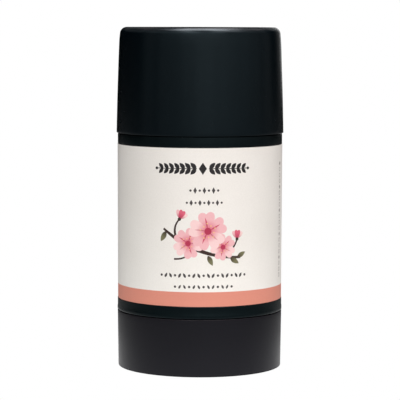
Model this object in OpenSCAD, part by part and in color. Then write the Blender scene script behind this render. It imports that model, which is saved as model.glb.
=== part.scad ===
// Round twist-up deodorant stick: turning knob at the foot, one-piece barrel
// with a wrap-round label, screw-lifted product, inner seal and friction cap.
// Millimetres. The origin is on the table under the axis, and +Z is up.

/* [Overall] */
// Height over everything with the cap on
total_h = 99.8; // [99:0.1:102]
// Facets used for a full circle when drawn
facets = 128; // [64:16:256]

/* [Base knob] */
// Height of the turning knob
knob_h = 16.55; // [16:0.05:16.6]
// Radius of the knob at its upper edge
knob_top_r = 24.24; // [24.1:0.01:24.4]
// Radius of the knob just above its foot
knob_foot_r = 24.04; // [23.9:0.01:24.2]
// Rounding of the knob's lower edge
knob_edge_r = 0.3; // [0.2:0.1:1]
// Wall of the knob
knob_wall = 1.55; // [1.3:0.05:1.7]
// Depth of the recess under the knob's floor
foot_recess = 0.8; // [0.4:0.1:1.2]
// Number of stiffening ribs inside the knob
knob_ribs = 4; // [4, 4:Four]

/* [Barrel] */
// Gap between the knob and the barrel's lower rim
knob_seam = 0.3; // [0.2:0.05:0.4]
// Radius of the barrel's lower band
band_r = 24.22; // [24.2:0.01:24.35]
// Radius of the collar above the label
collar_r = 24.19; // [24.17:0.01:24.3]
// Height at which the collar ends and the neck begins
collar_z = 68.65; // [68:0.05:69]
// Radius of the neck ring that holds the cap
neck_r = 23.0; // [22.8:0.02:23.04]
// Height of the neck ring
neck_h = 4.8; // [3:0.1:6]
// Height of the mouth
mouth_z = 88; // [86:0.1:89]
// Inner radius of the tube that holds the product
bore_r = 19.9; // [19.7:0.05:20]
// Wall of the inner tube
tube_wall = 1.1; // [1:0.05:1.2]
// Wall of the outer shell
shell_wall = 1.2; // [1:0.05:1.3]
// Number of ribs in the bore that stop the elevator turning
bore_ribs = 4; // [2:1:4]

/* [Label] */
// Lower edge of the label
label_z0 = 20.35; // [20:0.05:21]
// Upper edge of the label
label_z1 = 65.6; // [60:0.05:66]
// Outer radius of the label at its lower edge
label_r0 = 24.14; // [24.1:0.01:24.3]
// Outer radius of the label at its upper edge
label_r1 = 24.26; // [24.2:0.01:24.35]
// Thickness of the label film
label_t = 0.1; // [0.08:0.01:0.12]
// Gap where the two ends of the label meet at the back, in degrees
label_gap = 1.5; // [1:0.5:6]

/* [Cap] */
// Gap between the collar and the cap's lower edge
cap_seam = 0.3; // [0.2:0.05:0.4]
// Outer radius of the cap at its lower edge
cap_r0 = 24.56; // [24.5:0.01:24.7]
// Rounding of the cap's top edge
cap_edge_r = 2.0; // [1:0.1:2.6]
// Wall of the cap
cap_wall = 1.45; // [1.3:0.05:1.5]
// Inner radius of the cap where it grips the neck ring
cap_grip_r = 23.12; // [23.08:0.01:23.2]
// Number of centring ribs inside the cap
cap_ribs = 8; // [4:1:12]

/* [Lift] */
// Radius over the crest of the spindle's thread
spindle_r = 3.2; // [3:0.05:3.25]
// Radius of the nut's bore in the elevator
nut_r = 3.28; // [3.27:0.01:3.3]
// Travel of the elevator from its lowest place to its highest
travel = 56; // [50:1:56]

/* [Hidden] */
$fn = facets;
e = 0.01;

// colours
black_pp = [0.075, 0.082, 0.088];
film = [0.9, 0.885, 0.85];
wax = [0.93, 0.9, 0.83];
natural_pp = [0.86, 0.87, 0.86];

// heights that follow from the sizes above
rim_z = knob_h + knob_seam;         // barrel's lower rim
floor_z = 20.5;                     // underside of the barrel's floor
floor_t = 1.5;
cap_z = collar_z + cap_seam;        // cap's lower edge
roof_t = 1.5;
roof_z = total_h - roof_t;          // underside of the cap's roof
shell_ri = band_r - 0.1 - shell_wall;
tube_ro = bore_r + tube_wall;

// the elevator at its lowest place
lift_z = 23.7;                      // underside of its rim and nut
plate_z = 25;                       // underside of the plate
plate_t = 1.3;
rim_top = 28.4;
nut_top = 33;
nut_ro = 5.4;
lift_r = bore_r - 0.2;
fin_w = 1.2;
fin_top = 31;
fin_r = 16.5;

// the product
stick_r = bore_r - 0.2;
dome_r = 44;                        // sphere of the domed top
dome_top = 91.6;
step_z = 85.4;                      // shoulder left by the seal's skirt
step_r = 18.75;

// ribs in the bore
rib_w = 1.6;
rib_h = 0.9;
rib_top = 85;
function rib_angle(i) = 45 + i * 360 / bore_ribs;

// outer radius of the cap at height z: a slight taper that grows upwards
function cap_r(z) = cap_r0 - 0.019 * (z - cap_z) - 0.0004 * pow(z - cap_z, 2);

// outer radius of the label at height z
function label_r(z) =
    label_r0 + (label_r1 - label_r0) * (z - label_z0) / (label_z1 - label_z0);

// what rounding an outside corner takes off: the corner is at [x, z], and
// sx, sz say which way the material lies from it
module corner(x, z, r, sx, sz) {
    translate([x + sx * r, z + sz * r]) difference() {
        translate([sx > 0 ? -r - 1 : 0, sz > 0 ? -r - 1 : 0]) square(r + 1);
        circle(r);
    }
}

// a straight bar along the radius at angle a
module spoke(a, r0, r1, w, z0, z1) {
    rotate([0, 0, a]) translate([r0, -w / 2, z0]) cube([r1 - r0, w, z1 - z0]);
}

// ---------------------------------------------------------------- base knob
hub_ro = 5.4;
hub_z = floor_z - 0.12;
socket = 4.6;                       // square socket for the spindle's tail
ledge_z = 10;                       // under this the snap head opens out
tongue_ro = shell_ri - 0.2;
tongue_ri = tongue_ro - 1.1;

module knob_profile() {
    difference() {
        polygon([
            [0, foot_recess], [20, foot_recess], [20.4, 0],
            [knob_foot_r - 0.01, 0],
            [knob_foot_r, 1], [knob_top_r, knob_h],
            [tongue_ro, knob_h], [tongue_ro, 19.9],
            [tongue_ri, 19.9], [tongue_ri, 14.4],
            [knob_top_r - knob_wall - 0.05, 12.9],
            [knob_foot_r - knob_wall, foot_recess + 2.6],
            [knob_foot_r - knob_wall - 1.1, foot_recess + 1.5],
            [0, foot_recess + 1.5]
        ]);
        corner(knob_foot_r, 0, knob_edge_r, -1, 1);
        corner(knob_top_r, knob_h, 0.15, -1, -1);
        corner(tongue_ro, 19.9, 0.3, -1, -1);
    }
    // snap bead that runs in the barrel's groove
    intersection() {
        translate([tongue_ro - 0.05, 18.7]) circle(0.4);
        translate([tongue_ro - 0.3, 18]) square([1, 1.5]);
    }
}

module base_knob() {
    floor_top = foot_recess + 1.5;
    color(black_pp) difference() {
        union() {
            rotate_extrude() knob_profile();
            translate([0, 0, floor_top - 0.2])
                cylinder(r = hub_ro, h = hub_z - floor_top + 0.2);
            for (i = [0 : 3])
                spoke(45 + 90 * i, hub_ro - 0.6, knob_foot_r - knob_wall + 0.4,
                      1.1, floor_top - 0.2, 9);
        }
        translate([-socket / 2, -socket / 2, ledge_z - e])
            cube([socket, socket, 20]);
        translate([0, 0, 4.5]) cylinder(r = 3.7, h = ledge_z - 4.5);
    }
}

// ------------------------------------------------------------------ spindle
module spindle() {
    color(natural_pp) {
        // threaded shank, drawn to the crest of its thread, with a lead-in tip
        rotate_extrude() polygon([
            [0, 20.42], [3.25, 20.42], [3.25, 22.12],
            [6, 22.12], [6, 23.1], [5.7, 23.4], [spindle_r, 23.4],
            [spindle_r, 86.2], [2.4, 87], [0, 87]
        ]);
        // square drive tail
        translate([-2.2, -2.2, ledge_z - 0.15])
            cube([4.4, 4.4, 20.42 - ledge_z + 0.25]);
        // snap head that locks under the ledge in the knob's hub
        rotate_extrude() polygon([
            [0, 7], [2.1, 7], [3, 8.9], [3, ledge_z - 0.12],
            [0, ledge_z - 0.12]
        ]);
    }
}

// ------------------------------------------------------------------- barrel
module barrel_profile() {
    rec0 = label_r0 - label_t - 0.02;
    rec1 = label_r1 - label_t - 0.02;
    difference() {
        polygon([
            // outside, from the lower rim to the mouth
            [shell_ri, rim_z], [band_r + 0.07, rim_z],
            [band_r + 0.07, rim_z + 0.75], [band_r, rim_z + 1.2],
            [band_r, label_z0 - 0.12], [rec0, label_z0 - 0.12],
            [rec1, label_z1 + 0.12], [collar_r, label_z1 + 0.12],
            [collar_r, collar_z], [neck_r, collar_z],
            [neck_r, collar_z + neck_h - 0.5],
            [neck_r - 0.5, collar_z + neck_h],
            [tube_ro, collar_z + neck_h + 0.9],
            [tube_ro, mouth_z], [bore_r, mouth_z],
            // inside of the tube, down to the floor
            [bore_r, floor_z + floor_t + 0.6],
            [bore_r - 0.6, floor_z + floor_t],
            [3.35, floor_z + floor_t], [3.35, floor_z], [tube_ro, floor_z],
            // up the space between the tube and the shell, and down again
            [tube_ro, collar_z - 1.6], [shell_ri, collar_z - 1.6]
        ]);
        corner(tube_ro, mouth_z, 0.4, -1, -1);
        corner(bore_r, mouth_z, 0.4, 1, -1);
        corner(collar_r, collar_z, 0.2, -1, -1);
        corner(band_r + 0.07, rim_z, 0.15, -1, 1);
        // groove for the knob's snap bead
        translate([tongue_ro - 0.05, 18.7]) circle(0.62);
    }
}

module barrel() {
    color(black_pp) {
        rotate_extrude() barrel_profile();
        for (i = [0 : bore_ribs - 1])
            spoke(rib_angle(i), bore_r - rib_h, bore_r + 0.4, rib_w,
                  floor_z + floor_t - 0.4, rib_top);
    }
}

// -------------------------------------------------------------------- label
module label() {
    color(film) rotate([0, 0, 90 + label_gap / 2])
        rotate_extrude(angle = 360 - label_gap) polygon([
            [label_r0 - label_t, label_z0], [label_r0, label_z0],
            [label_r1, label_z1], [label_r1 - label_t, label_z1]
        ]);
}

// ----------------------------------------------------------------- elevator
module elevator() {
    color(natural_pp) difference() {
        union() {
            // wiping rim, plate and nut
            rotate_extrude() polygon([
                [nut_r, lift_z], [nut_ro, lift_z], [nut_ro, plate_z],
                [lift_r - 0.9, plate_z], [lift_r - 0.9, lift_z],
                [lift_r, lift_z], [lift_r, rim_top],
                [lift_r - 0.5, rim_top], [lift_r - 0.9, plate_z + plate_t],
                [nut_ro, plate_z + plate_t], [nut_ro, nut_top],
                [nut_r, nut_top]
            ]);
            // fins that key the product to the plate
            for (i = [0 : 3])
                spoke(90 * i, nut_ro - 0.6, fin_r, fin_w, plate_z + 0.4, fin_top);
        }
        // notches that run on the ribs of the bore
        for (i = [0 : bore_ribs - 1])
            spoke(rib_angle(i), bore_r - rib_h - 0.25, bore_r + 1,
                  rib_w + 0.5, lift_z - 1, rim_top + 1);
    }
}

// ---------------------------------------------------------- deodorant stick
module deodorant_stick() {
    c = 0.04;
    color(wax) difference() {
        rotate_extrude() intersection() {
            polygon([
                [3.6, nut_top + c], [nut_ro + c, nut_top + c],
                [nut_ro + c, plate_z + plate_t + c],
                [lift_r - 0.95, plate_z + plate_t + c],
                [lift_r - 0.55, rim_top + c], [stick_r, rim_top + c],
                [stick_r, step_z], [step_r, step_z], [step_r, 95],
                [0, 95], [0, 87.6], [3.6, 87.6]
            ]);
            translate([0, dome_top - dome_r]) circle(dome_r, $fn = 512);
        }
        // moulded round the plate's fins
        for (i = [0 : 3])
            spoke(90 * i, 0, fin_r + c, fin_w + 2 * c, plate_z, fin_top + c);
        // grooves left by the ribs of the bore
        for (i = [0 : bore_ribs - 1])
            spoke(rib_angle(i), bore_r - rib_h - 0.25, bore_r + 1,
                  rib_w + 0.5, plate_z, step_z + 1);
    }
}

// ---------------------------------------------------------------- inner lid
module inner_lid() {
    color(natural_pp) {
        rotate_extrude() {
            // flange on the mouth and skirt in it
            difference() {
                polygon([
                    [step_r + 0.2, step_z + 0.3], [bore_r - 0.15, step_z + 0.5],
                    [bore_r - 0.15, mouth_z + 0.06], [tube_ro + 0.3, mouth_z + 0.06],
                    [tube_ro + 0.3, mouth_z + 0.9], [step_r + 0.2, mouth_z + 0.9]
                ]);
                corner(tube_ro + 0.3, mouth_z + 0.9, 0.3, -1, -1);
            }
            // dome just clear of the product
            intersection() {
                translate([0, dome_top - dome_r]) difference() {
                    circle(dome_r + 1, $fn = 512);
                    circle(dome_r + 0.2, $fn = 512);
                }
                translate([0, 86]) square([step_r + 0.6, 10]);
            }
        }
        // finger tab
        difference() {
            translate([-7, -0.6, dome_top + 0.4]) cube([14, 1.2, 5.2]);
            for (s = [-1, 1]) translate([s * 7, 0, dome_top + 5.6])
                rotate([90, 0, 0]) difference() {
                    translate([-2, -2, -2]) cube([4, 4, 4]);
                    translate([-s * 2, -2, -3]) cylinder(r = 2, h = 6);
                }
        }
    }
}

// ---------------------------------------------------------------------- cap
module cap_profile() {
    steps = 7;
    top = total_h - cap_edge_r;
    outer = [for (i = [0 : steps]) let (z = cap_z + (top - cap_z) * i / steps)
             [cap_r(z), z]];
    difference() {
        polygon(concat(
            [[cap_grip_r + 0.25, cap_z]], outer,
            [[cap_r(top), total_h], [0, total_h], [0, roof_z],
             [cap_r(roof_z) - cap_wall, roof_z],
             [cap_r(cap_z + 8) - cap_wall - 0.1, cap_z + 8],
             [cap_grip_r, cap_z + 7.2], [cap_grip_r, cap_z + 0.3]]
        ));
        corner(cap_r(top), total_h, cap_edge_r, -1, -1);
        corner(cap_r(cap_z), cap_z, 0.15, -1, 1);
    }
}

module cap() {
    color(black_pp) {
        rotate_extrude() cap_profile();
        // centring ribs, just clear of the inner tube
        for (i = [0 : cap_ribs - 1])
            spoke(22.5 + i * 360 / cap_ribs, tube_ro + 0.55,
                  cap_r(roof_z) - 0.55, 0.9, cap_z + 8.4, roof_z + 0.3);
    }
}

cap();
inner_lid();
deodorant_stick();
elevator();
spindle();
barrel();
label();
base_knob();
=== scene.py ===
"""Looks of the round twist-up deodorant stick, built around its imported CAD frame.

Metres, Z up. Every piece is made where the frame has it. Sizes in the builders
below are written in millimetres and scaled by MM.
"""

import math

import bmesh
import bpy
from mathutils import Matrix, Vector, noise
from mathutils.geometry import delaunay_2d_cdt


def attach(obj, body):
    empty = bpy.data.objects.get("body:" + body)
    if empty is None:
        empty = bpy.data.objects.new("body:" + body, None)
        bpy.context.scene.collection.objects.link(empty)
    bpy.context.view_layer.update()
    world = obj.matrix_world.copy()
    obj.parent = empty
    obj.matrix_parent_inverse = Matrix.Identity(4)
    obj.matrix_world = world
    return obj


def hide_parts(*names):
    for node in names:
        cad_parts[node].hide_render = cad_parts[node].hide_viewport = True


MM = 0.001
TAU = 2 * math.pi

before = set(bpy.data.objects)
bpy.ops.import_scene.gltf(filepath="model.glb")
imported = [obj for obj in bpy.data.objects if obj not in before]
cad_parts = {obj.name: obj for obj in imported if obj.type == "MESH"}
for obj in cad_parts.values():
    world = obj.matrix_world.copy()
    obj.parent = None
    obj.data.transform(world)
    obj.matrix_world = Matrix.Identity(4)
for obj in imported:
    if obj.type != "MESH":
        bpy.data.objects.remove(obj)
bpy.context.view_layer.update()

# ------------------------------------------------------------------ sizes, mm
TOTAL_H = 99.8
KNOB_H = 16.55
KNOB_TOP_R, KNOB_FOOT_R, KNOB_WALL = 24.24, 24.04, 1.55
RIM_Z = 16.85
BAND_R, COLLAR_R, COLLAR_Z = 24.22, 24.19, 68.65
NECK_R, NECK_H, MOUTH_Z = 23.0, 4.8, 88.0
BORE_R, TUBE_RO = 19.9, 21.0
SHELL_RI = BAND_R - 0.1 - 1.2
FLOOR_Z, FLOOR_T = 20.5, 1.5
LABEL_Z0, LABEL_Z1, LABEL_R0, LABEL_R1, LABEL_T = 20.35, 65.6, 24.14, 24.26, 0.1
LABEL_GAP = 1.5
CAP_Z, CAP_R0, CAP_EDGE, CAP_WALL, CAP_GRIP = 68.95, 24.555, 2.05, 1.45, 23.12
SHOULDER_H, SHOULDER_LEAN, CAP_TAPER = 3.4, 6.0, 0.042
ROOF_Z = TOTAL_H - 1.5
DOME_R, DOME_TOP, STEP_Z, STEP_R = 44.0, 91.6, 85.4, 18.75
TONGUE_RO = SHELL_RI - 0.2
TONGUE_RI = TONGUE_RO - 1.1


def cap_r(z):
    return CAP_R0 - 0.019 * (z - CAP_Z) - 0.0004 * (z - CAP_Z) ** 2


def label_r(z):
    return LABEL_R0 + (LABEL_R1 - LABEL_R0) * (z - LABEL_Z0) / (LABEL_Z1 - LABEL_Z0)


# ------------------------------------------------------------- mesh builders
def arc(cx, cz, r, a0, a1, n):
    """Points of an arc in the profile plane, angles in degrees."""
    return [
        (
            cx + r * math.cos(math.radians(a0 + (a1 - a0) * i / n)),
            cz + r * math.sin(math.radians(a0 + (a1 - a0) * i / n)),
        )
        for i in range(n + 1)
    ]


def new_object(name, bm, sharp=35.0):
    bmesh.ops.remove_doubles(bm, verts=bm.verts, dist=1e-7)
    bmesh.ops.dissolve_degenerate(bm, dist=1e-8, edges=bm.edges)
    bmesh.ops.recalc_face_normals(bm, faces=bm.faces)
    mesh = bpy.data.meshes.new(name)
    bm.to_mesh(mesh)
    bm.free()
    obj = bpy.data.objects.new(name, mesh)
    bpy.context.scene.collection.objects.link(obj)
    smooth(obj, sharp)
    return obj


def smooth(obj, sharp):
    mesh = obj.data
    mesh.polygons.foreach_set("use_smooth", [True] * len(mesh.polygons))
    mesh.set_sharp_from_angle(angle=math.radians(sharp))
    mesh.update()


def lathe(name, profile, segs=256, sharp=35.0):
    """A closed solid of revolution from a closed (r, z) outline in mm."""
    bm = bmesh.new()
    rings = []
    for r, z in profile:
        if r < 1e-6:
            rings.append([bm.verts.new((0, 0, z * MM))] * segs)
        else:
            rings.append(
                [
                    bm.verts.new(
                        (
                            r * MM * math.cos(TAU * k / segs),
                            r * MM * math.sin(TAU * k / segs),
                            z * MM,
                        )
                    )
                    for k in range(segs)
                ]
            )
    n = len(rings)
    for i in range(n):
        a, b = rings[i], rings[(i + 1) % n]
        if a[0] is a[1] and b[0] is b[1]:
            continue
        for k in range(segs):
            q = []
            for v in (a[k], a[(k + 1) % segs], b[(k + 1) % segs], b[k]):
                if v not in q:
                    q.append(v)
            if len(q) > 2:
                bm.faces.new(q)
    return new_object(name, bm, sharp)


def block(name, x0, x1, y0, y1, z0, z1, angle=0.0):
    """A plain cutter or rib, turned about the axis by angle in degrees."""
    bm = bmesh.new()
    bmesh.ops.create_cube(bm, size=1)
    for v in bm.verts:
        v.co = Vector(
            (
                (x0 if v.co.x < 0 else x1) * MM,
                (y0 if v.co.y < 0 else y1) * MM,
                (z0 if v.co.z < 0 else z1) * MM,
            )
        )
    bmesh.ops.rotate(
        bm, verts=bm.verts, matrix=Matrix.Rotation(math.radians(angle), 3, "Z")
    )
    return new_object(name, bm)


def boolean(obj, others, operation):
    """Joins others to obj or cuts them from it, and leaves a plain mesh."""
    for o in others:
        m = obj.modifiers.new("b", "BOOLEAN")
        m.operation, m.solver, m.object = operation, "EXACT", o
    deps = bpy.context.evaluated_depsgraph_get()
    mesh = bpy.data.meshes.new_from_object(obj.evaluated_get(deps))
    obj.modifiers.clear()
    old = obj.data
    obj.data = mesh
    bpy.data.meshes.remove(old)
    for o in others:
        bpy.data.objects.remove(o)
    return obj


# ------------------------------------------------------------ material tools
def material(name):
    m = bpy.data.materials.new(name)
    m.use_nodes = True
    nt = m.node_tree
    bsdf = nt.nodes["Principled BSDF"]
    return m, nt, bsdf


def node(nt, kind, **settings):
    n = nt.nodes.new(kind)
    for k, v in settings.items():
        if k in n.inputs:
            n.inputs[k].default_value = v
        else:
            setattr(n, k, v)
    return n


def link(nt, a, b):
    nt.links.new(a, b)


def ramp(nt, source, stops):
    r = nt.nodes.new("ShaderNodeValToRGB")
    els = r.color_ramp.elements
    while len(els) < len(stops):
        els.new(0.5)
    for e, (pos, col) in zip(els, stops):
        e.position = pos
        e.color = (*col, 1) if len(col) == 3 else col
    link(nt, source, r.inputs["Fac"])
    return r.outputs["Color"]


def satin_black(name, base, rough, level, tint, grain=0.35, scale=5200.0):
    """Black polypropylene with a fine spark-eroded grain, faint flow clouds and handling rub."""
    m, nt, b = material(name)
    geo = nt.nodes.new("ShaderNodeTexCoord")
    pos = geo.outputs["Object"]
    fine = node(nt, "ShaderNodeTexNoise", Scale=scale, Detail=2.0, Roughness=0.6)
    cloud = node(nt, "ShaderNodeTexNoise", Scale=60.0, Detail=3.0, Roughness=0.5)
    rub = node(nt, "ShaderNodeTexNoise", Scale=420.0, Detail=4.0, Roughness=0.65)
    for t in (fine, cloud, rub):
        link(nt, pos, t.inputs["Vector"])
    col = ramp(
        nt,
        cloud.outputs["Fac"],
        [
            (0.3, tuple(c * 0.86 for c in base)),
            (0.7, tuple(c * 1.12 for c in base)),
        ],
    )
    link(nt, col, b.inputs["Base Color"])
    rr = node(nt, "ShaderNodeMapRange")
    rr.inputs["To Min"].default_value = rough - 0.035
    rr.inputs["To Max"].default_value = rough + 0.035
    link(nt, rub.outputs["Fac"], rr.inputs["Value"])
    link(nt, rr.outputs["Result"], b.inputs["Roughness"])
    bump = node(nt, "ShaderNodeBump", Strength=grain, Distance=0.00002)
    link(nt, fine.outputs["Fac"], bump.inputs["Height"])
    link(nt, bump.outputs["Normal"], b.inputs["Normal"])
    b.inputs["IOR"].default_value = 1.49
    b.inputs["Specular IOR Level"].default_value = level
    b.inputs["Specular Tint"].default_value = (*tint, 1)
    return m


cap_mat = satin_black("cap_satin", (0.0003, 0.0017, 0.0028), 0.26, 0.325, (0.68, 0.90, 0.99))
barrel_mat = satin_black("barrel_satin", (0.0005, 0.0022, 0.0026), 0.26, 0.26, (0.62, 0.84, 0.94), 0.3)
knob_mat = satin_black("knob_satin", (0.0042, 0.0041, 0.0057), 0.41, 0.21, (0.88, 0.90, 1.0), 0.3)


def natural_plastic(name, tint=(0.80, 0.81, 0.79)):
    """Uncoloured polypropylene: milky, a little translucent, with flow marks."""
    m, nt, b = material(name)
    geo = nt.nodes.new("ShaderNodeTexCoord")
    flow = node(nt, "ShaderNodeTexNoise", Scale=140.0, Detail=3.0, Roughness=0.5)
    fine = node(nt, "ShaderNodeTexNoise", Scale=2600.0, Detail=2.0)
    for t in (flow, fine):
        link(nt, geo.outputs["Object"], t.inputs["Vector"])
    col = ramp(
        nt,
        flow.outputs["Fac"],
        [(0.3, tuple(c * 0.94 for c in tint)), (0.7, tint)],
    )
    link(nt, col, b.inputs["Base Color"])
    bump = node(nt, "ShaderNodeBump", Strength=0.25, Distance=0.00002)
    link(nt, fine.outputs["Fac"], bump.inputs["Height"])
    link(nt, bump.outputs["Normal"], b.inputs["Normal"])
    b.inputs["Roughness"].default_value = 0.34
    b.inputs["Subsurface Weight"].default_value = 0.25
    b.inputs["Subsurface Radius"].default_value = (0.8, 0.8, 0.75)
    b.inputs["Subsurface Scale"].default_value = 0.0012
    b.inputs["IOR"].default_value = 1.49
    return m


natural_mat = natural_plastic("natural_pp")


def wax_material():
    """The product: a dense off-white wax with fine mottling and tiny pits."""
    m, nt, b = material("product_wax")
    geo = nt.nodes.new("ShaderNodeTexCoord")
    pos = geo.outputs["Object"]
    mottle = node(nt, "ShaderNodeTexNoise", Scale=230.0, Detail=5.0, Roughness=0.6)
    pit = node(nt, "ShaderNodeTexVoronoi", Scale=900.0)
    grain = node(nt, "ShaderNodeTexNoise", Scale=2400.0, Detail=3.0)
    for t in (mottle, pit, grain):
        link(nt, pos, t.inputs["Vector"])
    col = ramp(
        nt,
        mottle.outputs["Fac"],
        [(0.3, (0.80, 0.735, 0.60)), (0.55, (0.86, 0.80, 0.675)), (0.75, (0.90, 0.86, 0.755))],
    )
    link(nt, col, b.inputs["Base Color"])
    pr = node(nt, "ShaderNodeMapRange")
    pr.inputs["From Max"].default_value = 0.18
    link(nt, pit.outputs["Distance"], pr.inputs["Value"])
    mix = node(nt, "ShaderNodeMath", operation="MULTIPLY_ADD")
    mix.inputs[1].default_value = 0.35
    link(nt, pr.outputs["Result"], mix.inputs[0])
    link(nt, grain.outputs["Fac"], mix.inputs[2])
    bump = node(nt, "ShaderNodeBump", Strength=0.35, Distance=0.00006)
    link(nt, mix.outputs["Value"], bump.inputs["Height"])
    link(nt, bump.outputs["Normal"], b.inputs["Normal"])
    b.inputs["Roughness"].default_value = 0.48
    b.inputs["Subsurface Weight"].default_value = 0.5
    b.inputs["Subsurface Radius"].default_value = (1.0, 0.75, 0.5)
    b.inputs["Subsurface Scale"].default_value = 0.0016
    b.inputs["IOR"].default_value = 1.44
    return m


wax_mat = wax_material()


def film_material(name, color=None, ink=0.0):
    """Printed film: a semi-gloss face with a fine paper tooth. Colour comes from the mesh's print layer, or is one ink."""
    m, nt, b = material(name)
    geo = nt.nodes.new("ShaderNodeTexCoord")
    pos = geo.outputs["Object"]
    tooth = node(nt, "ShaderNodeTexNoise", Scale=3000.0, Detail=3.0, Roughness=0.6)
    cloud = node(nt, "ShaderNodeTexNoise", Scale=90.0, Detail=3.0)
    for t in (tooth, cloud):
        link(nt, pos, t.inputs["Vector"])
    tone = ramp(nt, cloud.outputs["Fac"], [(0.3, (0.975, 0.972, 0.965)), (0.7, (1, 1, 1))])
    fleck = ramp(nt, tooth.outputs["Fac"], [(0.3, (0.955, 0.955, 0.955)), (0.6, (1, 1, 1))])
    a = node(nt, "ShaderNodeMix", data_type="RGBA", blend_type="MULTIPLY")
    a.inputs[0].default_value = 1.0
    link(nt, tone, a.inputs[6])
    link(nt, fleck, a.inputs[7])
    c = node(nt, "ShaderNodeMix", data_type="RGBA", blend_type="MULTIPLY")
    c.inputs[0].default_value = 1.0
    link(nt, a.outputs[2], c.inputs[6])
    if color is None:
        att = node(nt, "ShaderNodeVertexColor", layer_name="print")
        link(nt, att.outputs["Color"], c.inputs[7])
    else:
        c.inputs[7].default_value = (*color, 1)
    link(nt, c.outputs[2], b.inputs["Base Color"])
    bump = node(nt, "ShaderNodeBump", Strength=0.2, Distance=0.00001)
    link(nt, tooth.outputs["Fac"], bump.inputs["Height"])
    link(nt, bump.outputs["Normal"], b.inputs["Normal"])
    b.inputs["Roughness"].default_value = 0.42 - ink
    b.inputs["IOR"].default_value = 1.48
    b.inputs["Specular IOR Level"].default_value = 0.45
    return m


# ----------------------------------------------------------------------- cap
def build_cap():
    # the wall leans in a little over its last few millimetres, then turns over the edge
    lean = math.radians(SHOULDER_LEAN)
    top = TOTAL_H - CAP_EDGE * (1 - math.sin(lean))
    drop = 0.5 * SHOULDER_H * (lean - CAP_TAPER)
    outer = []
    n = 40
    z0 = CAP_Z + 0.1
    for i in range(n + 1):
        z = z0 + (top - z0) * i / n
        s = max(0.0, 1 - (top - z) / SHOULDER_H)
        outer.append((cap_r(z) - drop * s * s, z))
    corner = arc(
        cap_r(top) - drop - CAP_EDGE * math.cos(lean), TOTAL_H - CAP_EDGE, CAP_EDGE, SHOULDER_LEAN, 90, 18
    )[1:]
    # the top face is very slightly dished, with the small round mark of its gate
    face = [(20.5, TOTAL_H), (12, TOTAL_H - 0.03), (3.2, TOTAL_H - 0.05)]
    face += [(2.9, TOTAL_H - 0.07), (2.6, TOTAL_H - 0.17), (0.75, TOTAL_H - 0.18)]
    face += [(0.6, TOTAL_H - 0.08), (0.4, TOTAL_H - 0.04), (0, TOTAL_H - 0.04)]
    inner = [(0, ROOF_Z)]
    ri = cap_r(ROOF_Z) - CAP_WALL
    inner += [(10, ROOF_Z), (ri - 0.6, ROOF_Z)]
    inner += arc(ri - 0.6, ROOF_Z - 0.6, 0.6, 90, 0, 6)[1:]
    inner += [
        (cap_r(88) - CAP_WALL - 0.04, 88),
        (cap_r(CAP_Z + 8) - CAP_WALL - 0.1, CAP_Z + 8),
        (CAP_GRIP, CAP_Z + 7.2),
        (CAP_GRIP, CAP_Z + 0.55),
        (CAP_GRIP + 0.06, CAP_Z + 0.3),
        (CAP_GRIP + 0.3, CAP_Z),
    ]
    low = arc(cap_r(CAP_Z) - 0.1, CAP_Z + 0.1, 0.1, -90, 0, 5)[:-1]
    cap = lathe("cap_shell", low + outer + corner + face + inner, 256, 30)
    ribs = [
        block(
            "rib",
            TUBE_RO + 0.55,
            cap_r(ROOF_Z) - 0.55,
            -0.45,
            0.45,
            CAP_Z + 8.4,
            ROOF_Z + 0.3,
            22.5 + 45 * i,
        )
        for i in range(8)
    ]
    boolean(cap, ribs, "UNION")
    smooth(cap, 30)
    cap.data.materials.append(cap_mat)
    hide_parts("cap")
    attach(cap, "lid")
    return cap


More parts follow.
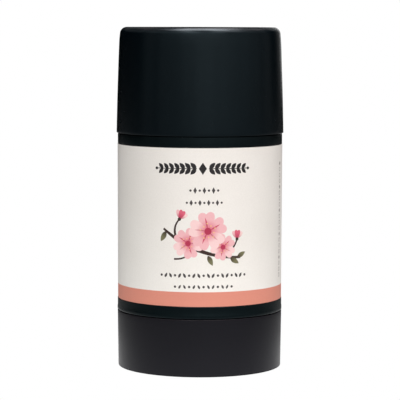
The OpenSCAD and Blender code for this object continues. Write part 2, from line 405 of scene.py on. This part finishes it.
# -------------------------------------------------------------------- barrel
def build_barrel():
    rec0, rec1 = LABEL_R0 - LABEL_T - 0.02, LABEL_R1 - LABEL_T - 0.02
    bead = BAND_R + 0.07
    p = [(SHELL_RI, RIM_Z)]
    p += arc(bead - 0.15, RIM_Z + 0.15, 0.15, -90, 0, 6)
    p += [(bead, RIM_Z + 0.7), (bead - 0.02, RIM_Z + 0.95), (BAND_R, RIM_Z + 1.2)]
    p += [(BAND_R, LABEL_Z0 - 0.18), (BAND_R - 0.04, LABEL_Z0 - 0.12)]
    p += [(rec0 + 0.02, LABEL_Z0 - 0.11), (rec0, LABEL_Z0 - 0.05)]
    for i in range(1, 12):
        t = i / 12
        p.append((rec0 + (rec1 - rec0) * t, LABEL_Z0 + (LABEL_Z1 - LABEL_Z0) * t))
    p += [(rec1, LABEL_Z1 + 0.05), (COLLAR_R, LABEL_Z1 + 0.12)]
    p += [(COLLAR_R, COLLAR_Z - 0.1)]
    p += arc(COLLAR_R - 0.1, COLLAR_Z - 0.1, 0.1, 0, 90, 6)[1:]
    p += [(NECK_R + 0.12, COLLAR_Z), (NECK_R, COLLAR_Z + 0.12)]
    p += [(NECK_R, COLLAR_Z + NECK_H - 0.5)]
    p += [(NECK_R - 0.12, COLLAR_Z + NECK_H - 0.2), (NECK_R - 0.5, COLLAR_Z + NECK_H)]
    p += [(TUBE_RO + 0.15, COLLAR_Z + NECK_H + 0.8), (TUBE_RO, COLLAR_Z + NECK_H + 1.05)]
    p += [(TUBE_RO, 80), (TUBE_RO, MOUTH_Z - 0.4)]
    p += arc(TUBE_RO - 0.4, MOUTH_Z - 0.4, 0.4, 0, 90, 7)[1:]
    p += arc(BORE_R + 0.4, MOUTH_Z - 0.4, 0.4, 90, 180, 7)
    p += [(BORE_R, 60), (BORE_R, 40), (BORE_R, FLOOR_Z + FLOOR_T + 0.6)]
    p += [(BORE_R - 0.6, FLOOR_Z + FLOOR_T), (3.35, FLOOR_Z + FLOOR_T), (3.35, FLOOR_Z)]
    p += [(TUBE_RO, FLOOR_Z), (TUBE_RO, 45), (TUBE_RO, COLLAR_Z - 1.6)]
    p += [(SHELL_RI, COLLAR_Z - 1.6), (SHELL_RI, 45)]
    # groove that the knob's snap bead runs in
    gx, gz, gr = TONGUE_RO - 0.05, 18.7, 0.62
    a = math.degrees(math.acos((SHELL_RI - gx) / gr))
    p += arc(gx, gz, gr, a, -a, 8)
    barrel = lathe("barrel_shell", p, 256, 30)
    ribs = [
        block("rib", BORE_R - 0.9, BORE_R + 0.4, -0.8, 0.8, 21.6, 85, 45 + 90 * i)
        for i in range(4)
    ]
    boolean(barrel, ribs, "UNION")
    smooth(barrel, 30)
    barrel.data.materials.append(barrel_mat)
    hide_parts("barrel")
    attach(barrel, "body")
    return barrel


# ---------------------------------------------------------------- base knob
def build_knob():
    floor_top = 2.3
    e = 0.3
    p = [(0, 0.8), (0.5, 0.8), (0.7, 0.55), (1.3, 0.55), (1.5, 0.8)]
    p += [(19.4, 0.8), (19.95, 0.75), (20.3, 0.12), (20.55, 0)]
    p += [(23.0, 0)] + arc(KNOB_FOOT_R - e, e, e, -90, 0, 8)
    for i in range(1, 11):
        z = e + (KNOB_H - 0.15 - e) * i / 10
        t = max(0.0, (z - 1) / (KNOB_H - 1))
        # the side keeps the foot radius for its first millimetre, then widens evenly towards the top
        p.append((KNOB_FOOT_R + (KNOB_TOP_R - KNOB_FOOT_R) * t, z))
    p += arc(KNOB_TOP_R - 0.15, KNOB_H - 0.15, 0.15, 0, 90, 5)[1:]
    p += [(TONGUE_RO, KNOB_H)]
    gx, gz, gr = TONGUE_RO - 0.05, 18.7, 0.4
    a = math.degrees(math.acos(0.05 / gr))
    p += arc(gx, gz, gr, -a, a, 8)
    p += [(TONGUE_RO, 19.6)] + arc(TONGUE_RO - 0.3, 19.6, 0.3, 0, 90, 5)[1:]
    p += [(TONGUE_RI, 19.9), (TONGUE_RI, 14.4)]
    p += [(KNOB_TOP_R - KNOB_WALL - 0.05, 12.9)]
    p += [(KNOB_FOOT_R - KNOB_WALL, 3.4), (KNOB_FOOT_R - KNOB_WALL - 1.1, floor_top)]
    p += [(5.4, floor_top), (5.4, FLOOR_Z - 0.12), (0, FLOOR_Z - 0.12)]
    knob = lathe("knob_shell", p, 256, 30)
    ribs = [
        block("rib", 4.8, KNOB_FOOT_R - KNOB_WALL + 0.4, -0.55, 0.55, 2.1, 9, 45 + 90 * i)
        for i in range(4)
    ]
    boolean(knob, ribs, "UNION")
    chamber = lathe("c", [(0, 4.5), (3.7, 4.5), (3.7, 10.05), (0, 10.05)], 96)
    socket = block("s", -2.3, 2.3, -2.3, 2.3, 9.9, 25)
    boolean(knob, [chamber, socket], "DIFFERENCE")
    smooth(knob, 30)
    knob.data.materials.append(knob_mat)
    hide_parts("base_knob")
    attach(knob, "knob")
    return knob


# ------------------------------------------------------------------- spindle
def build_spindle():
    """Square tail, snap head, flange and a two-start right-hand trapezoid thread."""
    segs, lead, starts = 64, 4.0, 2
    crest, root = 3.2, 2.62
    z0, z1 = 23.4, 86.2
    rows = []
    for r, z in [(0, 20.42), (3.25, 20.42), (3.25, 22.12), (6, 22.12), (6, 23.1), (5.7, 23.4)]:
        rows.append([(r, z)] * segs)
    n = 390
    for i in range(n + 1):
        z = z0 + (z1 - z0) * i / n
        run = min(1.0, (z - z0) / 1.2, (z1 - z) / 1.0)
        row = []
        for k in range(segs):
            ph = ((z - lead * k / segs) * starts / lead) % 1.0
            d = abs(ph - 0.5) * 2  # 0 on the crest, 1 in the root
            h = min(1.0, max(0.0, (0.70 - d) / 0.36))
            row.append((root + (crest - root) * h * max(0.0, run), z))
        rows.append(row)
    rows.append([(2.0, 87)] * segs)
    rows.append([(0, 87)] * segs)
    bm = bmesh.new()
    rings = []
    for row in rows:
        if row[0][0] < 1e-6:
            rings.append([bm.verts.new((0, 0, row[0][1] * MM))] * segs)
        else:
            rings.append(
                [
                    bm.verts.new(
                        (
                            r * MM * math.cos(TAU * k / segs),
                            r * MM * math.sin(TAU * k / segs),
                            z * MM,
                        )
                    )
                    for k, (r, z) in enumerate(row)
                ]
            )
    for a, b in zip(rings, rings[1:]):
        for k in range(segs):
            q = []
            for v in (a[k], a[(k + 1) % segs], b[(k + 1) % segs], b[k]):
                if v not in q:
                    q.append(v)
            if len(q) > 2:
                bm.faces.new(q)
    spindle = new_object("spindle_screw", bm, 40)
    tail = block("tail", -2.2, 2.2, -2.2, 2.2, 9.85, 20.6)
    head = lathe("head", [(0, 7), (2.1, 7), (3, 8.9), (3, 9.88), (0, 9.88)], 64)
    boolean(spindle, [tail, head], "UNION")
    smooth(spindle, 40)
    spindle.data.materials.append(natural_mat)
    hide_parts("spindle")
    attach(spindle, "knob")
    return spindle


# ------------------------------------------------------------------ elevator
def build_elevator():
    r = BORE_R - 0.2
    lift, plate, top = 23.7, 25.0, 26.3
    p = [(3.28, lift + 0.3), (3.6, lift), (5.4, lift), (5.4, plate), (r - 0.9, plate)]
    p += [(r - 0.9, lift), (r - 0.2, lift), (r, lift + 0.2), (r, 28.2), (r - 0.15, 28.4)]
    p += [(r - 0.5, 28.4), (r - 0.9, top), (5.4, top), (5.4, 32.8), (5.2, 33)]
    p += [(3.6, 33), (3.28, 32.7)]
    lifter = lathe("elevator_plate", p, 192, 30)
    fins = [
        block("fin", 4.8, 16.5, -0.6, 0.6, 25.4, 31, 90 * i)
        for i in range(4)
    ]
    boolean(lifter, fins, "UNION")
    cuts = [
        block("cut", BORE_R - 1.15, BORE_R + 1, -1.05, 1.05, 22, 30, 45 + 90 * i)
        for i in range(4)
    ]
    boolean(lifter, cuts, "DIFFERENCE")
    smooth(lifter, 30)
    lifter.data.materials.append(natural_mat)
    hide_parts("elevator")
    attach(lifter, "carriage")
    return lifter


# ------------------------------------------------------------------- product
def build_stick():
    c = 0.04
    r = BORE_R - 0.2
    cz = DOME_TOP - DOME_R
    p = [(3.6, 33 + c), (5.4 + c, 33 + c), (5.4 + c, 26.3 + c), (r - 0.95, 26.3 + c)]
    p += [(r - 0.55, 28.4 + c), (r, 28.4 + c)]
    for i in range(1, 24):
        p.append((r, 28.44 + (STEP_Z - 0.35 - 28.44) * i / 24))
    p += [(r, STEP_Z - 0.35), (r - 0.12, STEP_Z - 0.08), (r - 0.4, STEP_Z)]
    p += [(STEP_R + 0.12, STEP_Z), (STEP_R, STEP_Z + 0.15)]
    ze = cz + math.sqrt(DOME_R**2 - STEP_R**2)
    p += [(STEP_R, ze - 0.35), (STEP_R - 0.1, ze - 0.12)]
    for i in range(1, 31):
        x = (STEP_R - 0.45) * (1 - i / 30)
        p.append((x, cz + math.sqrt(DOME_R**2 - x * x) if x > 0 else DOME_TOP))
    p += [(0, 87.6), (3.6, 87.6)]
    stick = lathe("product", p, 256, 30)
    cuts = [
        block("cut", -0.0, 16.5 + c, -0.6 - c, 0.6 + c, 25, 31 + c, 90 * i)
        for i in range(4)
    ]
    cuts += [
        block("cut", BORE_R - 1.15, BORE_R + 1, -1.05, 1.05, 25, STEP_Z + 1, 45 + 90 * i)
        for i in range(4)
    ]
    boolean(stick, cuts, "DIFFERENCE")
    smooth(stick, 30)
    stick.data.materials.append(wax_mat)
    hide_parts("deodorant_stick")
    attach(stick, "carriage")
    return stick


# ---------------------------------------------------------------- inner lid
def build_inner_lid():
    cz = DOME_TOP - DOME_R
    ro, ri = DOME_R + 1, DOME_R + 0.2
    z = MOUTH_Z
    fr = TUBE_RO + 0.3
    x1 = STEP_R + 0.2
    zi = cz + math.sqrt(ri**2 - x1**2)
    xo = 19.35
    zo = z + 0.9
    p = [(x1 + 0.1, STEP_Z + 0.3), (BORE_R - 0.3, STEP_Z + 0.42), (BORE_R - 0.15, STEP_Z + 0.8)]
    p += [(BORE_R - 0.15, z + 0.06), (fr - 0.1, z + 0.06), (fr, z + 0.16)]
    p += arc(fr - 0.3, zo - 0.3, 0.3, 0, 90, 5)
    p += [(xo, zo), (xo - 0.25, zo - 0.12)]
    x2 = xo - 0.7
    for i in range(0, 25):
        x = x2 * (1 - i / 24)
        p.append((x, cz + math.sqrt(ro**2 - x * x)))
    for i in range(0, 25):
        x = x1 * i / 24
        p.append((x, cz + math.sqrt(ri**2 - x * x)))
    p += [(x1, zi - 0.4), (x1, STEP_Z + 0.5)]
    lid = lathe("seal_disc", p, 192, 30)
    # finger tab: a bar with rounded shoulders
    bm = bmesh.new()
    outline = [(-7, 92.0)]
    outline += [(-5 + 2 * math.cos(a), 95.2 + 2 * math.sin(a)) for a in [math.pi - math.pi / 2 * i / 8 for i in range(9)]]
    outline += [(5 + 2 * math.cos(a), 95.2 + 2 * math.sin(a)) for a in [math.pi / 2 - math.pi / 2 * i / 8 for i in range(9)]]
    outline += [(7, 92.0)]
    sides = []
    for y in (-0.6, 0.6):
        sides.append([bm.verts.new((x * MM, y * MM, zz * MM)) for x, zz in outline])
    bm.faces.new(sides[0])
    bm.faces.new(list(reversed(sides[1])))
    for i in range(len(outline)):
        j = (i + 1) % len(outline)
        bm.faces.new((sides[0][i], sides[0][j], sides[1][j], sides[1][i]))
    tab = new_object("tab", bm)
    boolean(lid, [tab], "UNION")
    smooth(lid, 30)
    lid.data.materials.append(natural_mat)
    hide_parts("inner_lid")
    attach(lid, "seal")
    return lid


# --------------------------------------------------------------------- label
# The print is drawn flat: u runs round the barrel in mm from the centre of the
# front, v is the height in mm. Each shape is an outline with an ink.
CREAM = (0.808, 0.820, 0.770)
SALMON = (0.655, 0.260, 0.190)
INK = (0.016, 0.015, 0.016)
SOFT_INK = (0.060, 0.056, 0.055)
GREY_INK = (0.30, 0.285, 0.27)
BARK = (0.040, 0.022, 0.018)
ROSE = (0.66, 0.12, 0.19)
BLUSH = (0.80, 0.47, 0.49)
PALE = (0.86, 0.63, 0.62)
DEEP = (0.42, 0.035, 0.085)
LEAF = (0.17, 0.17, 0.085)
STAMEN = (0.82, 0.55, 0.22)
BAND_TOP = 24.55  # height of the coloured band's upper edge
CU = 0.85  # centre of the artwork, in mm round the barrel


def bez(p0, p1, p2, p3, n):
    out = []
    for i in range(n + 1):
        t = i / n
        s = 1 - t
        out.append(
            (
                s**3 * p0[0] + 3 * s * s * t * p1[0] + 3 * s * t * t * p2[0] + t**3 * p3[0],
                s**3 * p0[1] + 3 * s * s * t * p1[1] + 3 * s * t * t * p2[1] + t**3 * p3[1],
            )
        )
    return out


def ribbon(path, widths):
    """An outline of a stroke that follows path with the given half widths."""
    left, right = [], []
    n = len(path)
    for i, (x, y) in enumerate(path):
        a, b = path[max(0, i - 1)], path[min(n - 1, i + 1)]
        dx, dy = b[0] - a[0], b[1] - a[1]
        d = math.hypot(dx, dy) or 1.0
        t = i / (n - 1)
        k = t * (len(widths) - 1)
        j = min(int(k), len(widths) - 2)
        w = widths[j] + (widths[j + 1] - widths[j]) * (k - j)
        left.append((x - dy / d * w, y + dx / d * w))
        right.append((x + dy / d * w, y - dx / d * w))
    return left + right[::-1]


def disc(cx, cy, r, n=20, squash=1.0):
    return [
        (cx + r * math.cos(TAU * i / n), cy + r * squash * math.sin(TAU * i / n))
        for i in range(n)
    ]


def place(points, cx, cy, angle, size=1.0, sx=1.0):
    c, s = math.cos(math.radians(angle)), math.sin(math.radians(angle))
    return [
        (cx + size * (sx * x * c - y * s), cy + size * (sx * x * s + y * c))
        for x, y in points
    ]


def petal():
    """A notched petal that grows up from the origin, one unit long."""
    half = bez((0, 0.06), (0.20, 0.18), (0.50, 0.55), (0.42, 0.86), 9)
    half += bez((0.42, 0.86), (0.36, 1.02), (0.14, 1.06), (0, 0.90), 6)[1:]
    return half + [(-x, y) for x, y in half[-2:0:-1]]


def fold():
    """A thin crease inside a petal."""
    half = bez((0, 0.12), (0.06, 0.3), (0.09, 0.5), (0, 0.74), 6)
    return half + [(-0.5 * x, y) for x, y in half[-2:0:-1]]


def leaf():
    half = bez((0, 0), (0.22, 0.18), (0.30, 0.55), (0, 1.0), 9)
    return half + [(-x, y) for x, y in half[-2:0:-1]]


def artwork():
    """(outline, ink, inner ink, centre, reach): the ink runs to inner ink near the centre, over reach mm."""
    shapes = []

    def add(outline, ink, inner=None, centre=None, reach=1.0):
        fine = []
        for (x0, y0), (x1, y1) in zip(outline, outline[1:] + outline[:1]):
            n = max(1, math.ceil(math.hypot(x1 - x0, y1 - y0) / 0.6))
            fine += [(x0 + (x1 - x0) * i / n, y0 + (y1 - y0) * i / n) for i in range(n)]
        shapes.append((fine, ink, inner or ink, centre or fine[0], reach))

    def bar(x0, x1, y0, y1, ink):
        add([(x0, y0), (x1, y0), (x1, y1), (x0, y1)], ink)

    def lozenge(x, y, w, h, ink):
        add([(x - w, y), (x, y + h), (x + w, y), (x, y - h)], ink)

    def sprig(x, y, angle, length, ink, width=1.0):
        add(place(leaf(), x, y, angle, length, width), ink)

    def blossom(cx, cy, size, turn):
        for k in (0, 2, 4, 1, 3):
            a = turn + 72 * k
            add(place(petal(), cx, cy, a, size, 1.02), PALE if k % 2 else BLUSH, ROSE, (cx, cy), size * 0.62)
            # a fold down the middle of the petal
            add(place(fold(), cx, cy, a + 6, size), BLUSH if k % 2 else ROSE, DEEP, (cx, cy), size * 0.75)
        add(disc(cx, cy, size * 0.19, 18), DEEP)
        for k in range(10):
            a = math.radians(turn + 18 + 36 * k)
            r = size * (0.32 if k % 2 else 0.41)
            add(disc(cx + r * math.cos(a), cy + r * math.sin(a), size * 0.04, 8), STAMEN)

    def bud(cx, cy, size, turn):
        for a, ink in ((24, BLUSH), (-24, PALE), (0, ROSE)):
            add(place(petal(), cx, cy, turn + a, size, 0.8), ink, DEEP, (cx, cy), size * 0.7)
        add(disc(cx, cy, size * 0.19, 12), BARK)

    # heading place: a garland of small leaves that runs out both ways from a lozenge
    y = 59.8
    lozenge(CU, y, 1.15, 1.75, INK)
    for side in (-1, 1):
        bar(min(CU + side * 1.7, CU + side * 13.6), max(CU + side * 1.7, CU + side * 13.6), y - 0.11, y + 0.11, INK)
        for k in range(7):
            x = CU + side * (1.9 + 1.62 * k)
            s = 2.35 - 0.06 * k
            sprig(x, y, -side * 44, s, INK, 1.35)
            sprig(x, y, -side * 136, s, INK, 1.35)
        add(disc(CU + side * 13.7, y, 0.42, 14), INK)
    # small place below it: two short rows of beads and lozenges
    for k in range(-3, 4):
        if k % 2:
            add(disc(CU + 0.45 + k * 1.32, 53.6, 0.34, 12), SOFT_INK)
        else:
            lozenge(CU + 0.45 + k * 1.32, 53.6, 0.5, 0.95, SOFT_INK)
    for k in range(-4, 5):
        if k % 2:
            lozenge(CU + 0.45 + k * 1.25, 50.1, 0.48, 0.85, SOFT_INK)
        else:
            add(disc(CU + 0.45 + k * 1.25, 50.1, 0.32, 12), SOFT_INK)
    # picture place: a twig of five-petal blossom
    cx, cy = CU - 0.3, 39.4
    stem = bez((cx - 11.2, cy + 3.2), (cx - 6.5, cy - 0.6), (cx + 1.0, cy - 5.2), (cx + 11.6, cy - 5.0), 30)
    add(ribbon(stem, [0.30, 0.50, 0.58, 0.44, 0.34]), BARK)
    twig = bez((cx - 7.4, cy + 0.7), (cx - 8.2, cy + 3.2), (cx - 7.6, cy + 4.6), (cx - 6.4, cy + 6.0), 14)
    add(ribbon(twig, [0.36, 0.2]), BARK)
    twig = bez((cx + 6.4, cy - 4.7), (cx + 8.6, cy - 3.4), (cx + 10.0, cy - 1.6), (cx + 10.5, cy + 0.2), 14)
    add(ribbon(twig, [0.36, 0.2]), BARK)
    twig = bez((cx - 1.6, cy - 3.2), (cx - 4.0, cy - 4.4), (cx - 5.4, cy - 5.6), (cx - 8.0, cy - 5.4), 14)
    add(ribbon(twig, [0.34, 0.22, 0.26]), BARK)
    for x, yy, a, s in (
        (cx - 10.4, cy + 2.4, 150, 3.4),
        (cx + 8.4, cy - 5.1, 238, 3.2),
        (cx + 10.6, cy - 5.0, 300, 3.0),
        (cx + 1.8, cy - 4.4, 206, 3.2),
    ):
        add(place(leaf(), x, yy, a, s, 1.15), LEAF, BARK, (x, yy), s * 0.6)
    bud(cx - 6.4, cy + 6.0, 2.7, -24)
    bud(cx + 10.5, cy + 0.2, 2.6, -4)
    blossom(cx + 6.2, cy - 2.0, 3.7, 20)
    blossom(cx - 3.9, cy - 0.9, 4.3, 50)
    blossom(cx + 1.8, cy + 2.6, 5.4, 6)
    # two lines at the foot: plaits of small slanted leaves
    for yy, n, gap, size in ((29.3, 9, 1.38, 1.5), (26.05, 6, 1.38, 1.3)):
        for k in range(-n, n + 1):
            x = CU + 0.3 + k * gap
            if k % 3 == 0:
                add(disc(x, yy, 0.36, 12), SOFT_INK)
            else:
                t = 28 if k % 3 == (1 if k > 0 else 2) else -28
                c, d = math.sin(math.radians(t)) * size / 2, math.cos(math.radians(t)) * size / 2
                sprig(x + c, yy - d, t, size, SOFT_INK, 1.2)
    # a fine column of rings and lozenges on the right flank
    for k in range(20):
        yy = 27.6 + k * 1.72
        if k % 4 == 3:
            lozenge(31.3, yy, 0.75, 0.7, GREY_INK)
        else:
            add(disc(31.3, yy, 0.68, 14), GREY_INK)
            add(disc(31.3, yy, 0.44, 12), CREAM)
    # the back: two plain ruled panels, left and right of the seam
    for side in (-1, 1):
        for k in range(11):
            w = (14.5, 14.5, 13.0, 14.5, 9.0)[k % 5]
            bar(side * 56 - 7.25, side * 56 - 7.25 + w, 34.0 + 2.1 * k - 0.11, 34.0 + 2.1 * k + 0.11, GREY_INK)
        bar(side * 56 - 7.25, side * 56 + 7.25, 59.3, 60.3, SOFT_INK)
    return shapes


def build_label():
    """The wrap-round film: one sheet with its thickness, meshed so that every printed edge is a mesh edge."""
    shapes = artwork()
    circ = math.radians(360 - LABEL_GAP) * LABEL_R1
    half = circ / 2
    band = BAND_TOP
    pts, edges = [], []

    def poly(outline):
        base = len(pts)
        pts.extend(Vector(p) for p in outline)
        n = len(outline)
        edges.extend((base + i, base + (i + 1) % n) for i in range(n))

    # the sheet's own outline, cut into short steps
    nu, nv = 180, 30
    rect = [(-half + circ * i / nu, LABEL_Z0) for i in range(nu)]
    rect += [(half, LABEL_Z0 + (LABEL_Z1 - LABEL_Z0) * i / nv) for i in range(nv)]
    rect += [(half - circ * i / nu, LABEL_Z1) for i in range(nu)]
    rect += [(-half, LABEL_Z1 - (LABEL_Z1 - LABEL_Z0) * i / nv) for i in range(nv)]
    poly(rect)
    # the top edge of the coloured band
    base = len(pts)
    pts.extend(Vector((-half + circ * i / nu, band)) for i in range(nu + 1))
    edges.extend((base + i, base + i + 1) for i in range(nu))
    for outline, *_ in shapes:
        poly(outline)
    # points that keep the triangles small, finer where the picture is
    for i in range(1, nu):
        for j in range(1, nv):
            v = LABEL_Z0 + (LABEL_Z1 - LABEL_Z0) * j / nv
            if abs(v - band) > 0.4:
                pts.append(Vector((-half + circ * i / nu, v + 0.01 * (i % 3))))
    step = 0.5
    for i in range(int(27 / step)):
        for j in range(int(17 / step)):
            pts.append(Vector((CU - 13.5 + step * (i + 0.5 * (j % 2)), 31.3 + step * j)))
    verts, _, faces, *_ = delaunay_2d_cdt(pts, edges, [], 1, 1e-6)

    boxes = []
    for outline, ink, inner, centre, reach in shapes:
        xs, ys = [p[0] for p in outline], [p[1] for p in outline]
        boxes.append((min(xs), max(xs), min(ys), max(ys)))

    def inside(x, y, outline):
        hit = False
        j = len(outline) - 1
        for i in range(len(outline)):
            xi, yi = outline[i]
            xj, yj = outline[j]
            if (yi > y) != (yj > y) and x < (xj - xi) * (y - yi) / (yj - yi) + xi:
                hit = not hit
            j = i
        return hit

    def shape_at(x, y):
        for k in range(len(shapes) - 1, -1, -1):
            b = boxes[k]
            if b[0] <= x <= b[1] and b[2] <= y <= b[3] and inside(x, y, shapes[k][0]):
                return k
        return -1

    def wrap(u, v, t=0.0):
        a = u / LABEL_R1 - math.pi / 2
        r = label_r(v) - t
        return (r * MM * math.cos(a), r * MM * math.sin(a), v * MM)

    bm = bmesh.new()
    layer = bm.loops.layers.float_color.new("print")
    front = [bm.verts.new(wrap(v.x, v.y)) for v in verts]
    back = [bm.verts.new(wrap(v.x, v.y, LABEL_T)) for v in verts]
    count = {}
    for f in faces:
        u = sum(verts[i].x for i in f) / len(f)
        v = sum(verts[i].y for i in f) / len(f)
        k = shape_at(u, v)
        face = bm.faces.new([front[i] for i in f])
        rear = bm.faces.new([back[i] for i in reversed(f)])
        for loop, i in zip(face.loops, f):
            if k < 0:
                col = SALMON if v < band else CREAM
            else:
                _, ink, inner, c, reach = shapes[k]
                d = math.hypot(verts[i].x - c[0], verts[i].y - c[1]) / reach
                t = min(1.0, max(0.0, d)) ** 1.3
                col = tuple(p + (q - p) * t for p, q in zip(inner, ink))
            loop[layer] = (*col, 1)
        for loop in rear.loops:
            loop[layer] = (*CREAM, 1)
        face.material_index = 0 if k < 0 else 1
        for a, b in zip(f, (*f[1:], f[0])):
            key = (min(a, b), max(a, b))
            count.setdefault(key, []).append((a, b))
    for (a, b), uses in count.items():
        if len(uses) == 1:
            a, b = uses[0]
            rim = bm.faces.new((front[b], front[a], back[a], back[b]))
            for loop in rim.loops:
                loop[layer] = (*CREAM, 1)
    mesh = bpy.data.meshes.new("label_film")
    bmesh.ops.recalc_face_normals(bm, faces=bm.faces)
    bm.to_mesh(mesh)
    bm.free()
    label = bpy.data.objects.new("label_film", mesh)
    bpy.context.scene.collection.objects.link(label)
    smooth(label, 40)
    mesh.materials.append(film_material("label_face"))
    mesh.materials.append(film_material("label_ink", None, 0.04))
    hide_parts("label")
    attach(label, "body")
    return label


build_cap()
build_barrel()
build_label()
build_knob()
build_spindle()
build_elevator()
build_stick()
build_inner_lid()


# --------------------------------------------------------------------- stage
# inner radius, outer radius, brightness
TABLE_RINGS = (
    (0.0243, 0.034, 1.223),
    (0.034, 0.06, 1.141),
    (0.06, 0.12, 0.646),
    (0.12, 0.3, 0.125),
    (0.3, 0.8, 0.444),
)
# azimuth, elevation, width, height, power of the panels round and above the pack
SOFTBOXES = (
    (-75, 8, 0.45, 0.36, 0.10),
    (-50, 8, 0.45, 0.36, 0.16),
    (-30, 8, 0.45, 0.36, 0.17),
    (-12, 8, 0.45, 0.36, 0.24),
    (6, 8, 0.45, 0.36, 0.39),
    (24, 8, 0.45, 0.36, 0.33),
    (42, 8, 0.45, 0.36, 0.31),
    (62, 8, 0.45, 0.36, 0.25),
    (82, 8, 0.45, 0.36, 0.16),
    (105, 8, 0.45, 0.36, 0.09),
    (150, 8, 0.45, 0.36, 0.07),
    (170, 8, 0.45, 0.36, 0.67),
    (-170, 28, 0.42, 0.40, 0.09),
    (-150, 28, 0.42, 0.40, 0.06),
    (-125, 28, 0.42, 0.40, 0.08),
    (-100, 28, 0.42, 0.40, 0.15),
    (-75, 28, 0.42, 0.40, 0.36),
    (-50, 28, 0.42, 0.40, 0.54),
    (-30, 28, 0.42, 0.40, 0.71),
    (-12, 28, 0.42, 0.40, 1.80),
    (6, 28, 0.42, 0.40, 0.58),
    (24, 28, 0.42, 0.40, 1.27),
    (42, 28, 0.42, 0.40, 0.29),
    (62, 28, 0.42, 0.40, 0.36),
    (82, 28, 0.42, 0.40, 0.27),
    (105, 28, 0.42, 0.40, 0.19),
    (150, 28, 0.42, 0.40, 0.19),
    (170, 28, 0.42, 0.40, 0.15),
    (-150, 47, 0.45, 0.36, 0.30),
    (-110, 47, 0.45, 0.36, 0.26),
    (-75, 47, 0.45, 0.36, 0.18),
    (-22, 47, 0.28, 0.36, 1.72),
    (36, 47, 0.45, 0.36, 1.97),
    (60, 47, 0.45, 0.36, 1.58),
    (90, 47, 0.45, 0.36, 0.41),
    (125, 47, 0.45, 0.36, 0.63),
    (160, 47, 0.45, 0.36, 0.08),
    (-90, 67, 0.40, 0.40, 0.91),
    (-45, 67, 0.40, 0.40, 6.40),
    (0, 67, 0.40, 0.40, 3.74),
    (45, 67, 0.40, 0.40, 7.74),
    (90, 67, 0.40, 0.40, 2.62),
    (140, 67, 0.40, 0.40, 1.69),
    (0, 88, 0.60, 0.60, 11.12),
)


def emission(name, color, strength):
    m = bpy.data.materials.new(name)
    m.use_nodes = True
    nt = m.node_tree
    nt.nodes.clear()
    out = nt.nodes.new("ShaderNodeOutputMaterial")
    em = nt.nodes.new("ShaderNodeEmission")
    em.inputs["Color"].default_value = (*color, 1)
    em.inputs["Strength"].default_value = strength
    nt.links.new(em.outputs[0], out.inputs[0])
    return m


def stage_disc(name, r, z, mat, r0=0.0):
    bm = bmesh.new()
    segs = 96
    outer = [
        bm.verts.new((r * math.cos(TAU * k / segs), r * math.sin(TAU * k / segs), z))
        for k in range(segs)
    ]
    if r0:
        inner = [
            bm.verts.new((r0 * math.cos(TAU * k / segs), r0 * math.sin(TAU * k / segs), z))
            for k in range(segs)
        ]
        for k in range(segs):
            j = (k + 1) % segs
            bm.faces.new((inner[k], outer[k], outer[j], inner[j]))
    else:
        bm.faces.new(outer)
    mesh = bpy.data.meshes.new(name)
    bm.to_mesh(mesh)
    bm.free()
    obj = bpy.data.objects.new(name, mesh)
    bpy.context.scene.collection.objects.link(obj)
    mesh.materials.append(mat)
    return obj


# The camera sees a wide pale floor and a pale surround. What the pack's faces
# mirror is the table close round it, brighter near the foot than far out.
floor = stage_disc("floor", 6.0, -0.0004, emission("floor_pale", (1, 1, 1), 1.0))
floor.visible_glossy = False
floor.visible_diffuse = False
for i, (r0, r1, power) in enumerate(TABLE_RINGS):
    ring = stage_disc("table%d" % i, r1, -0.0002, emission("table%d" % i, (1, 1, 1), power), r0)
    ring.visible_camera = False

world = bpy.data.worlds.new("studio")
bpy.context.scene.world = world
world.use_nodes = True
wnt = world.node_tree
wnt.nodes["Background"].inputs["Color"].default_value = (1, 1, 1, 1)
wnt.nodes["Background"].inputs["Strength"].default_value = 1.0
world.cycles_visibility.glossy = False
world.cycles_visibility.diffuse = False


WARMTH = 1.16  # the overhead panels are a little warmer than the ones round the side


def softbox(azimuth, elevation, width, height, power):
    """A panel 1.3 m from the pack that faces it. Azimuth 0 is in front, 90 to the right."""
    warm = WARMTH if elevation > 40 else 1.0
    a, e = math.radians(azimuth), math.radians(elevation)
    centre = Vector((0, 0, 0.05))
    out = Vector((math.sin(a) * math.cos(e), -math.cos(a) * math.cos(e), math.sin(e)))
    data = bpy.data.lights.new("softbox", "AREA")
    data.shape = "RECTANGLE"
    data.size, data.size_y, data.energy = width, height, power * warm
    data.color = (1.0, 1.0 / warm, 1.0 / warm)
    obj = bpy.data.objects.new("softbox", data)
    obj.location = centre + 1.3 * out
    obj.rotation_euler = (-out).to_track_quat("-Z", "Y").to_euler()
    bpy.context.scene.collection.objects.link(obj)


for panel in SOFTBOXES:
    softbox(*panel)

# -------------------------------------------------------------------- camera
cam_data = bpy.data.cameras.new("camera")
cam_data.sensor_width = 36.0
cam_data.lens = 36.0 * 1990.8 / 400
cam = bpy.data.objects.new("camera", cam_data)
cam.location = (0.00006, -0.586285, 0.09902)
cam.rotation_euler = (
    Matrix.Rotation(math.radians(90 - 4.89), 3, "X") @ Matrix.Rotation(math.radians(0.16), 3, "Z")
).to_euler()
bpy.context.scene.collection.objects.link(cam)
bpy.context.scene.camera = cam

bpy.context.scene.view_settings.view_transform = "Standard"
bpy.context.scene.view_settings.look = "None"
